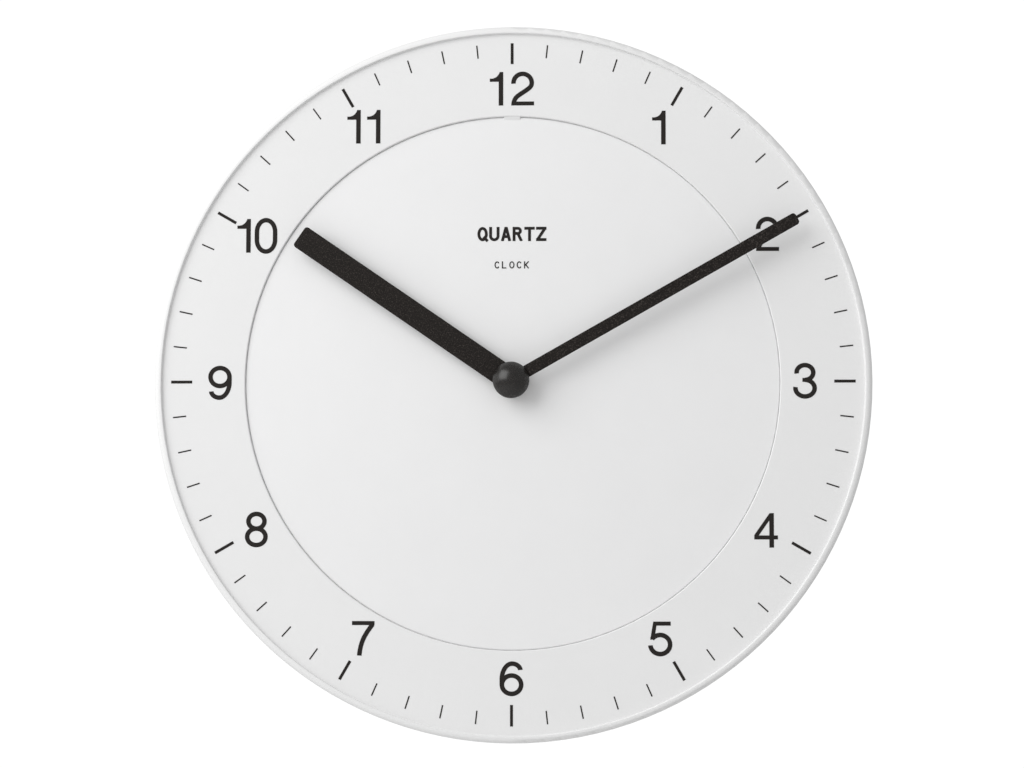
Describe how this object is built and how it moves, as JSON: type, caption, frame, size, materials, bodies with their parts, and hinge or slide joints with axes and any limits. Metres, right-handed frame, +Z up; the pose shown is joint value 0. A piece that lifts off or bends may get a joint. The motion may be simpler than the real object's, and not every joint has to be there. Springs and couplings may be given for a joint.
{
  "type": "wall clock",
  "caption": "Round open-face analogue wall clock with a raised rim, domed dial disc, parallel hands under a domed cap and a quartz movement behind.",
  "frame": {"origin": "where the hand axis meets the wall plane, which is the back edge of the case", "axes": "+Z up towards 12 o'clock, +X to the right towards 3 o'clock seen from the front, +Y into the wall; the dial faces -Y"},
  "size_m": [0.2, 0.0316, 0.2],
  "materials": {
    "case_white": "satin white moulded ABS, fine spark-eroded grain",
    "dial_white": "satin white moulded ABS",
    "ink_black": "matt pad-printed ink",
    "hand_black": "aluminium with a matt black fine-textured lacquer",
    "cap_black": "matt black plastic",
    "cover_white": "matt white moulded ABS",
    "steel_zinc": "zinc-plated steel",
    "movement_black": "matt black moulded ABS",
    "lid_grey": "matt dark grey moulded ABS",
    "bridge_white": "natural POM",
    "gear_white": "natural POM",
    "gear_amber": "amber POM",
    "spring_bronze": "spring bronze strip",
    "soft_iron": "annealed silicon iron",
    "magnet": "sintered ferrite",
    "copper_wire": "enamelled copper wire",
    "bobbin_white": "moulded nylon",
    "board_green": "glass-epoxy board with green solder resist",
    "resin_black": "glossy epoxy resin",
    "crystal_can": "tin-plated can",
    "contact_brass": "nickel-plated brass",
    "cell_can": "nickel-plated steel",
    "cell_film": "plain coloured shrink film, no lettering",
    "knob_black": "black moulded ABS with ridges"
  },
  "bodies": {
    "case": {"front_case": "case_white", "dial_disc": "dial_white", "hour_marks": "ink_black", "minute_marks": "ink_black", "numerals": "ink_black", "dial_word": "ink_black", "dial_word_small": "ink_black", "back_cover": "cover_white", "hanger_plate": "steel_zinc", "hanger_rivets": "steel_zinc", "cover_screws": "steel_zinc", "movement_screws": "steel_zinc", "movement_case": "movement_black", "movement_lid": "lid_grey", "lid_screws": "steel_zinc", "train_bridge": "bridge_white", "bridge_screws": "steel_zinc", "stator": "soft_iron", "coil_core": "soft_iron", "coil_bobbin": "bobbin_white", "coil_winding": "copper_wire", "stator_screws": "steel_zinc", "circuit_board": "board_green", "control_chip": "resin_black", "crystal": "crystal_can", "contact_positive": "contact_brass", "contact_negative": "contact_brass"},
    "minute_hand_set": {"minute_hand": "hand_black", "hand_cap": "cap_black", "cannon_pinion": "gear_white", "clutch_spring": "spring_bronze"},
    "hour_hand_set": {"hour_hand": "hand_black", "hour_wheel": "gear_amber"},
    "setting_arbor": {"motion_wheel": "gear_white", "setting_knob": "knob_black"},
    "centre_gear": {"centre_wheel": "gear_white"},
    "third_gear": {"third_wheel": "gear_amber"},
    "seconds_gear": {"seconds_wheel": "gear_white"},
    "intermediate_gear": {"intermediate_wheel": "gear_amber"},
    "rotor": {"rotor_pinion": "gear_white", "rotor_magnet": "magnet"},
    "cell": {"battery_can": "cell_can", "battery_sleeve": "cell_film"}
  },
  "joints": [
    {"name": "minute_hand_turn", "type": "hinge", "parent": "case", "child": "minute_hand_set", "pos_m": [0, -0.02, 0], "axis": [0, 1, 0], "continuous": true},
    {"name": "hour_hand_turn", "type": "hinge", "parent": "case", "child": "hour_hand_set", "pos_m": [0, -0.02, 0], "axis": [0, 1, 0], "continuous": true},
    {"name": "setting_knob_turn", "type": "hinge", "parent": "case", "child": "setting_arbor", "pos_m": [-0.00551, -0.01, 0.00786], "axis": [0, 1, 0], "continuous": true},
    {"name": "seconds_wheel_turn", "type": "hinge", "parent": "case", "child": "seconds_gear", "pos_m": [0.01017, -0.01, 0.0107], "axis": [0, 1, 0], "continuous": true},
    {"name": "third_wheel_turn", "type": "hinge", "parent": "case", "child": "third_gear", "pos_m": [0.00869, -0.01, 0.00233], "axis": [0, 1, 0], "continuous": true},
    {"name": "centre_wheel_turn", "type": "hinge", "parent": "case", "child": "centre_gear", "pos_m": [0, -0.013, 0], "axis": [0, 1, 0], "continuous": true},
    {"name": "intermediate_wheel_turn", "type": "hinge", "parent": "case", "child": "intermediate_gear", "pos_m": [0.00367, -0.009, 0.01445], "axis": [0, 1, 0], "continuous": true},
    {"name": "rotor_turn", "type": "hinge", "parent": "case", "child": "rotor", "pos_m": [-0.00239, -0.007, 0.01795], "axis": [0, 1, 0], "continuous": true},
    {"name": "cell_slide", "type": "slide", "parent": "case", "child": "cell", "axis": [0, 1, 0], "range_m": [0, 0.02]}
  ],
  "couplings": [
    {"joint": "hour_hand_turn", "follows": "minute_hand_turn", "ratio": 0.083333},
    {"joint": "setting_knob_turn", "follows": "minute_hand_turn", "ratio": -0.33333},
    {"joint": "third_wheel_turn", "follows": "seconds_wheel_turn", "ratio": -0.13333},
    {"joint": "centre_wheel_turn", "follows": "seconds_wheel_turn", "ratio": 0.016667},
    {"joint": "intermediate_wheel_turn", "follows": "seconds_wheel_turn", "ratio": -5},
    {"joint": "rotor_turn", "follows": "seconds_wheel_turn", "ratio": 30}
  ]
}
